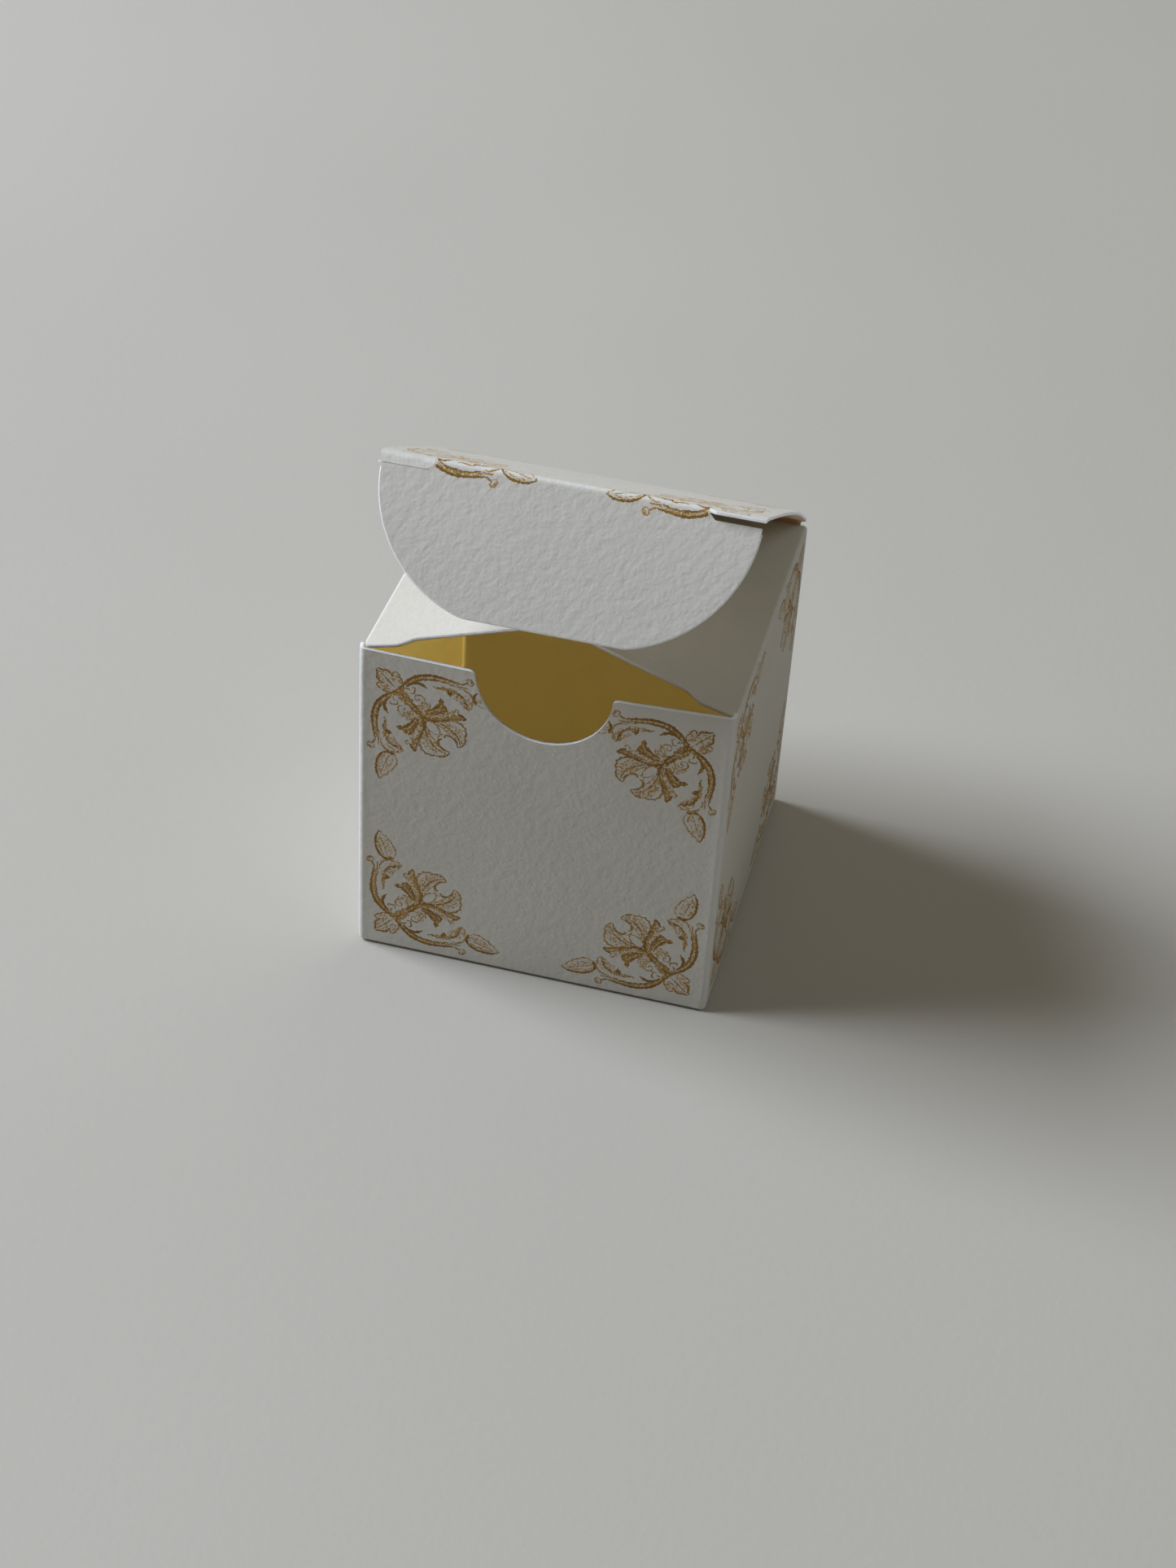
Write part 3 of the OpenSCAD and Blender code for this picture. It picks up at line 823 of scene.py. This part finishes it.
def on_front(u, v):
    """The front wall's outer face: flat but for its bow."""
    x = u - HALF
    at = np.stack([x, -HALF - front_bow(x, v), v], -1)
    return at, np.broadcast_to(-Y, at.shape)


def on_right(u, v):
    """The right wall's outer face, from the front fold backwards."""
    at = np.stack([HALF + 0 * u, u - HALF, v], -1)
    return at, np.broadcast_to(X, at.shape)


def on_back(u, v):
    """The back wall's outer face, seen from behind."""
    at = np.stack([HALF - u, HALF + 0 * u, v], -1)
    return at, np.broadcast_to(Y, at.shape)


def on_left(u, v):
    """The left wall's outer face, from the back fold forwards."""
    at = np.stack([-HALF + 0 * u, HALF - u, v], -1)
    return at, np.broadcast_to(-X, at.shape)


def on_lid(u, v):
    """The lid's outer face, the print's lower edge past the crease by the print's shift."""
    at, normal = lid_surface(u - HALF, LID_LEN + PRINT_SHIFT - v)
    return at + normal * CARD / 2, normal


def on_tuck(u, v):
    """The outer face over the lid's front crease and down the tuck flap."""
    at, normal = tuck_surface(u - HALF, PRINT_SHIFT - v)
    return at + normal * CARD / 2, normal


def clear_of_notch(u, v):
    """Where the front wall is: outside the notch."""
    return np.hypot(u - HALF, v - HEIGHT) > NOTCH_R + INK_CLEAR


def all_over(u, v):
    """Everywhere on the panel."""
    return np.ones(u.shape, bool)


def on_lid_only(u, v):
    """Behind the seam with the tuck flap, or on the right tongue."""
    s = LID_LEN + PRINT_SHIFT - v
    tongue = (u - HALF > NECK_HALF + INK_FROM_SLIT) & (s < LID_LEN + TONGUE - INK_FROM_END)
    return (s < SEAM_AT) | tongue


def past_the_seam(u, v):
    """Over the crease between the slits, and on the tuck flap."""
    return (PRINT_SHIFT - v >= SEAM_AT - LID_LEN) & (np.abs(u - HALF) < NECK_HALF - SLIT)


# Finishes

CARD_WHITE = (0.665, 0.637, 0.572, 1)
CARD_SHADE = (0.637, 0.607, 0.538, 1)
# Paler card where creases have cracked its face, also used down the walls' upright folds as a painted
# highlight
CARD_WORN_AND_HIGHLIGHT = (0.76, 0.745, 0.70, 1)
CREAM = (0.88, 0.695, 0.48, 1)
CREAM_SHADE = (0.865, 0.68, 0.465, 1)
CREAM_WORN = (0.90, 0.80, 0.62, 1)
LID_CREAM = (0.82, 0.72, 0.54, 1)
LID_CREAM_SHADE = (0.80, 0.70, 0.52, 1)
LID_CREAM_WORN = (0.84, 0.77, 0.63, 1)
CORE_PALE = (0.95, 0.935, 0.89, 1)
CORE_GREY = (0.86, 0.835, 0.76, 1)
CORE_SOILED = (0.84, 0.805, 0.72, 1)
INK_GOLD = (0.46, 0.265, 0.065, 1)
INK_BROWN = (0.245, 0.128, 0.025, 1)
TABLE_PALE = (0.545, 0.517, 0.463, 1)
TABLE_SHADE = (0.523, 0.496, 0.444, 1)
SHINE = 0.08

# Depths of the relief, in metres
FELT_DEPTH = 0.00015
INK_DEPTH = 0.00006
EDGE_DEPTH = 0.00005
TABLE_DEPTH = 0.00003

# Noises: lumps per metre, detail and roughness
MARKS = (820.0, 1.5, 0.5)
LUMPS = (2000.0, 1.3, 0.5)
FIBRES = (5200.0, 2.0, 0.6)
CARD_DRIFT = (60.0, 3.0, 0.5)
EDGE_GRAIN = (6000.0, 3.0, 0.6)
EDGE_DRIFT = (500.0, 2.0, 0.5)
INK_SPECKS = (3600.0, 2.0, 0.6)
INK_DRIFT = (420.0, 2.0, 0.5)
TABLE_DRIFT = (6.0, 2.0, 0.5)
TABLE_GRAIN = (900.0, 2.0, 0.5)
FELT_SLANT = (0.0, math.radians(-48), math.radians(40))
FELT_STRETCH = (1.15, 1.0, 1.0)


class Value:
    """An output of a shader node. Arithmetic on it, with numbers or other values, adds Math nodes."""

    def __init__(self, finish, socket):
        self.finish = finish
        self.socket = socket

    def _with(self, operation, a, b):
        return self.finish.node("ShaderNodeMath", {"operation": operation}, {0: a, 1: b})

    def __add__(self, other):
        return self._with("ADD", self, other)

    __radd__ = __add__

    def __sub__(self, other):
        return self._with("SUBTRACT", self, other)

    def __rsub__(self, other):
        return self._with("SUBTRACT", other, self)

    def __mul__(self, other):
        return self._with("MULTIPLY", self, other)


class Finish:
    """The nodes of a material or of the room's light, and the one method that adds them."""

    def __init__(self, owner):
        self.owner = owner
        owner.use_nodes = True
        self.tree = owner.node_tree
        self.tree.nodes.clear()

    def node(self, kind, settings=None, inputs=None, output=0):
        """Adds a node, makes its settings, fills its sockets and gives one of its outputs."""
        made = self.tree.nodes.new(kind)
        for key, value in (settings or {}).items():
            setattr(made, key, value)
        for key, value in (inputs or {}).items():
            if isinstance(value, Value):
                self.tree.links.new(value.socket, made.inputs[key])
            else:
                made.inputs[key].default_value = value
        return Value(self, made.outputs[output]) if made.outputs else None

    def place(self):
        """The place on the piece, in metres."""
        return self.node("ShaderNodeTexCoord", output="Object")

    def mark(self, label):
        """A value that the mesh carries at its points."""
        return self.node("ShaderNodeAttribute", {"attribute_name": label}, output="Fac")

    def mix(self, factor, a, b):
        """Colour a where the factor is 0, b where it is 1."""
        return self.node("ShaderNodeMix", {"data_type": "RGBA"}, {0: factor, 6: a, 7: b}, 2)

    def noise(self, place, scale, detail, rough):
        """Noise of about one lump per 1/scale metres."""
        return self.node("ShaderNodeTexNoise", {},
                         {"Vector": place, "Scale": scale, "Detail": detail, "Roughness": rough})

    def steps(self, value, low, high, least=0.0, most=1.0):
        """The least below low, the most above high, smooth between."""
        return self.node("ShaderNodeMapRange", {"interpolation_type": "SMOOTHSTEP"},
                         {0: value, 1: low, 2: high, 3: least, 4: most})

    def surface(self, colour, rough, height, bump, glow=0.0, glow_tint=(1.0, 1.0, 1.0)):
        """Matt surface with a bump of the given height. Light passes through it for the glow's length."""
        normal = self.node("ShaderNodeBump", {}, {"Strength": 1.0, "Distance": bump, "Height": height})
        shader = self.node("ShaderNodeBsdfPrincipled", {}, {
            "Base Color": colour, "Roughness": rough, "Normal": normal, "Specular IOR Level": SHINE,
            "Subsurface Weight": 1.0 if glow else 0.0, "Subsurface Radius": glow_tint,
            "Subsurface Scale": glow})
        self.node("ShaderNodeOutputMaterial", {}, {"Surface": shader})
        return self.owner


def felt_card(name, colour, shade, worn_and_highlight_colour, glow=0.0, glow_tint=(1.0, 1.0, 1.0)):
    """Felt-marked card: soft lumps pressed in along a slant, with finer lumps and fibres between them.

    Its colour drifts a little. It is paler where a fold has cracked its face, and down the walls' upright
    folds, where the paler colour is a painted highlight on the fold's bead.
    """
    finish = Finish(bpy.data.materials.new(name))
    place = finish.place()
    slant = finish.node("ShaderNodeMapping", {"vector_type": "TEXTURE"},
                        {"Vector": place, "Rotation": FELT_SLANT, "Scale": FELT_STRETCH})
    marks = finish.noise(slant, *MARKS)
    lumps = finish.noise(place, *LUMPS)
    fibres = finish.noise(slant, *FIBRES)
    drift = finish.noise(place, *CARD_DRIFT)
    base = finish.mix(finish.steps(drift, 0.3, 0.75), colour, shade)
    base = finish.mix(finish.steps(fibres, 0.62, 0.8) * 0.35, base, shade)
    # Paler where folds have cracked the card, and a painted highlight down the walls' upright folds
    crack_and_highlight = finish.steps(finish.mark("crease") * 0.9 + lumps * 0.3, 0.5, 1.05)
    base = finish.mix(crack_and_highlight * 0.8, base, worn_and_highlight_colour)
    height = marks * 0.62 + lumps * 0.3 + fibres * 0.08
    return finish.surface(base, 0.82 + fibres * 0.12, height, FELT_DEPTH, glow, glow_tint)


def cut_edge(name):
    """Cut edge of the card: a pale core with a fine grain, a little soiled in places."""
    finish = Finish(bpy.data.materials.new(name))
    place = finish.place()
    grain = finish.noise(place, *EDGE_GRAIN)
    soft = finish.noise(place, *EDGE_DRIFT)
    base = finish.mix(finish.steps(grain, 0.45, 0.75) * 0.5, CORE_PALE, CORE_GREY)
    base = finish.mix(finish.steps(soft, 0.55, 0.8) * 0.3, base, CORE_SOILED)
    rough = 0.9 + grain * 0.08
    return finish.surface(base, rough, grain, EDGE_DEPTH, glow=0.003, glow_tint=(1.0, 0.95, 0.86))


def ochre_ink(name):
    """Ochre ink that breaks up on the felt.

    It is stippled with the card's own colour, less where more of it is inked, and browner where it is thick.
    """
    finish = Finish(bpy.data.materials.new(name))
    place = finish.place()
    lumps = finish.noise(place, *LUMPS)
    specks = finish.noise(place, *INK_SPECKS)
    tone = finish.noise(place, *INK_DRIFT)
    share = finish.mark("inked_share")
    base = finish.mix(finish.steps(tone * 0.5 + share * 0.5, 0.45, 0.8), INK_GOLD, INK_BROWN)
    bare = finish.steps(specks * 0.8 + lumps * 0.2 - share * 0.22, 0.35, 0.49)
    base = finish.mix(bare * (1.15 - share * 0.55), base, CARD_WHITE)
    return finish.surface(base, 0.62 + bare * 0.2, lumps * 0.5 + specks * 0.5, INK_DEPTH)


def table_paint(name):
    """Pale painted table top with a faint drift of tone and a fine grain."""
    finish = Finish(bpy.data.materials.new(name))
    place = finish.place()
    drift = finish.noise(place, *TABLE_DRIFT)
    grain = finish.noise(place, *TABLE_GRAIN)
    base = finish.mix(finish.steps(drift, 0.3, 0.75), TABLE_PALE, TABLE_SHADE)
    return finish.surface(base, 0.55 + grain * 0.1, grain, TABLE_DEPTH)


WHITE = felt_card("white_felt_card", CARD_WHITE, CARD_SHADE, CARD_WORN_AND_HIGHLIGHT)
INSIDE = felt_card("cream_inside", CREAM, CREAM_SHADE, CREAM_WORN, glow=0.003, glow_tint=(1.0, 0.68, 0.40))
LID_INSIDE = felt_card("cream_lid_inside", LID_CREAM, LID_CREAM_SHADE, LID_CREAM_WORN,
                       glow=0.0005, glow_tint=(1.0, 0.68, 0.38))
EDGE = cut_edge("cut_edge")
INK = ochre_ink("ochre_ink")

# The box

walls = box_walls([WHITE, INSIDE, EDGE])
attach(walls, "box")
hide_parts("box_body")

inner = HALF - CARD
on_base = 1.5 * CARD + GLUE
flap_wide = (BASE_FLAP - CLEAR) * X
layer_deep = 2 * LAYER_HALF * Y
tab_wide = (TAB - 2 * CLEAR) * Y
layers = [
    ("base_flap_left", (CLEAR - inner, -LAYER_HALF, on_base), flap_wide, layer_deep, Z),
    ("base_flap_right", (inner - BASE_FLAP, -LAYER_HALF, on_base), flap_wide, layer_deep, Z),
    ("base_tail", (-LAYER_HALF, CARD / 2 + GLUE - inner, CARD + GLUE), 2 * LAYER_HALF * X, TAIL * Z, Y),
    ("glue_tab", (inner - CARD / 2 - GLUE, inner - TAB, TAB_FOOT), tab_wide, TAB_HEIGHT * Z, -X),
]
for name, origin, across, up, normal in layers:
    layer = flat_sheet(name, np.array(origin), across, up, normal, [INSIDE, WHITE, EDGE])
    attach(layer, "box")

lid_card = lid([WHITE, LID_INSIDE, EDGE])
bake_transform(lid_card)
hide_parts("lid_panel")

tuck_card = tuck_flap([WHITE, LID_INSIDE, EDGE])
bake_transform(tuck_card)
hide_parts("tuck_flap")

for name, node, body, side in (("flap_left", "left_dust_flap", "left_flap", -1),
                               ("flap_right", "right_dust_flap", "right_flap", 1)):
    flap = dust_flap(name, side, [WHITE, INSIDE, EDGE])
    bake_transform(flap)
    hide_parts(node)

for name, place, fits in (("print_front", on_front, clear_of_notch), ("print_right", on_right, all_over),
                          ("print_back", on_back, all_over), ("print_left", on_left, all_over)):
    ink = inked(name, panel_ornaments(ALL_CORNERS), place, fits, INK)
    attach(ink, "box")

# The lid's ink is thinned to paint the pale sheen of its print at a grazing view
lid_ink = inked("print_lid", panel_ornaments(ALL_CORNERS, LID_INK_PAINTED_SHEEN), on_lid, on_lid_only, INK)
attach(lid_ink, "lid")

crease_ornaments = panel_ornaments(LOWER_CORNERS, CREASE_INK)
tuck_ink = inked("print_crease", crease_ornaments, on_tuck, past_the_seam, INK)
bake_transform(tuck_ink)

# The table

TABLE_HALF = 1400.0
line = np.linspace(-TABLE_HALF, TABLE_HALF, 3)
table_points = np.stack(np.meshgrid(line, line, [0.0]), -1).reshape(-1, 3)
_, table_faces = grid_faces(3, 3)
table = piece("table", table_points, table_faces.tolist(), [table_paint("pale_table")])

# The light

LAMP_AIM = np.array([0, 0, 0.03])
ROOM_LIGHT = (1.0, 0.87, 0.67, 1)
ROOM_WALL = (0.50, 0.485, 0.455, 1)


def placed(axes, at):
    """Matrix of an object with the given three axes and its origin at a place, in metres."""
    rows = [[*row, shift] for row, shift in zip(np.stack(axes, 1), at)]
    return Matrix(rows + [[0, 0, 0, 1]])


def area_lamp(name, towards, distance, size, power, colour):
    """Rectangular lamp in a direction from the box, aimed at its middle. Distances are in metres."""
    data = bpy.data.lights.new(name, "AREA")
    data.shape = "RECTANGLE"
    data.size, data.size_y = size
    data.energy = power
    data.color = colour
    lamp = bpy.data.objects.new(name, data)
    bpy.context.scene.collection.objects.link(lamp)
    back = np.array(towards, float) / np.linalg.norm(towards)
    side = np.cross(Z, back)
    side /= np.linalg.norm(side)
    lamp.matrix_world = placed([side, np.cross(back, side), back], back * distance + LAMP_AIM)


area_lamp("window", towards=(-0.785, -0.03, 0.64), distance=1.6, size=(0.9, 1.0), power=36.2,
          colour=(0.80, 0.87, 0.99))
area_lamp("room_right", towards=(0.72, 0.03, 0.70), distance=1.8, size=(1.2, 0.8), power=3.1,
          colour=(0.86, 0.97, 1.0))

# The room is brightest overhead, and darker in front of the box than behind it. What is seen past the table,
# directly or in a gloss, is a pale plain wall
world = bpy.data.worlds.new("room")
room = Finish(world)
way = room.node("ShaderNodeTexCoord", output="Generated")
overhead = room.node("ShaderNodeSeparateXYZ", {}, {0: way}, "Z")
behind = room.node("ShaderNodeSeparateXYZ", {}, {0: way}, "Y")
strength = room.steps(overhead, 0.0, 1.0, 0.015, 0.225) * room.steps(behind, -1.0, 1.0, 0.20, 1.42)
light = room.node("ShaderNodeBackground", {}, {"Color": ROOM_LIGHT, "Strength": strength})
wall = room.node("ShaderNodeBackground", {}, {"Color": ROOM_WALL})
seen = room.node("ShaderNodeLightPath", output="Is Camera Ray")
for kind in ("Is Glossy Ray", "Is Transmission Ray"):
    ray = room.node("ShaderNodeLightPath", output=kind)
    seen = room.node("ShaderNodeMath", {"operation": "MAXIMUM"}, {0: seen, 1: ray})
view = room.node("ShaderNodeMixShader", {}, {0: seen, 1: light, 2: wall})
room.node("ShaderNodeOutputWorld", {}, {"Surface": view})
bpy.context.scene.world = world

# The camera

EYE = np.array([65.52, -304.07, 256.62])
FORWARD = np.array([-0.1635, 0.7731, -0.6129])
RIGHT = np.array([0.9677, 0.2467, 0.0531])
LENS = 63.47
SENSOR = 36

forward = FORWARD / np.linalg.norm(FORWARD)
right = RIGHT - (RIGHT @ forward) * forward
right /= np.linalg.norm(right)
camera_data = bpy.data.cameras.new("camera")
camera_data.sensor_width = SENSOR
camera_data.lens = LENS
camera_data.clip_start = 0.01
camera = bpy.data.objects.new("camera", camera_data)
bpy.context.scene.collection.objects.link(camera)
camera.matrix_world = placed([right, np.cross(right, forward), -forward], EYE * MM)
bpy.context.scene.camera = camera
bpy.context.scene.view_settings.view_transform = "Standard"
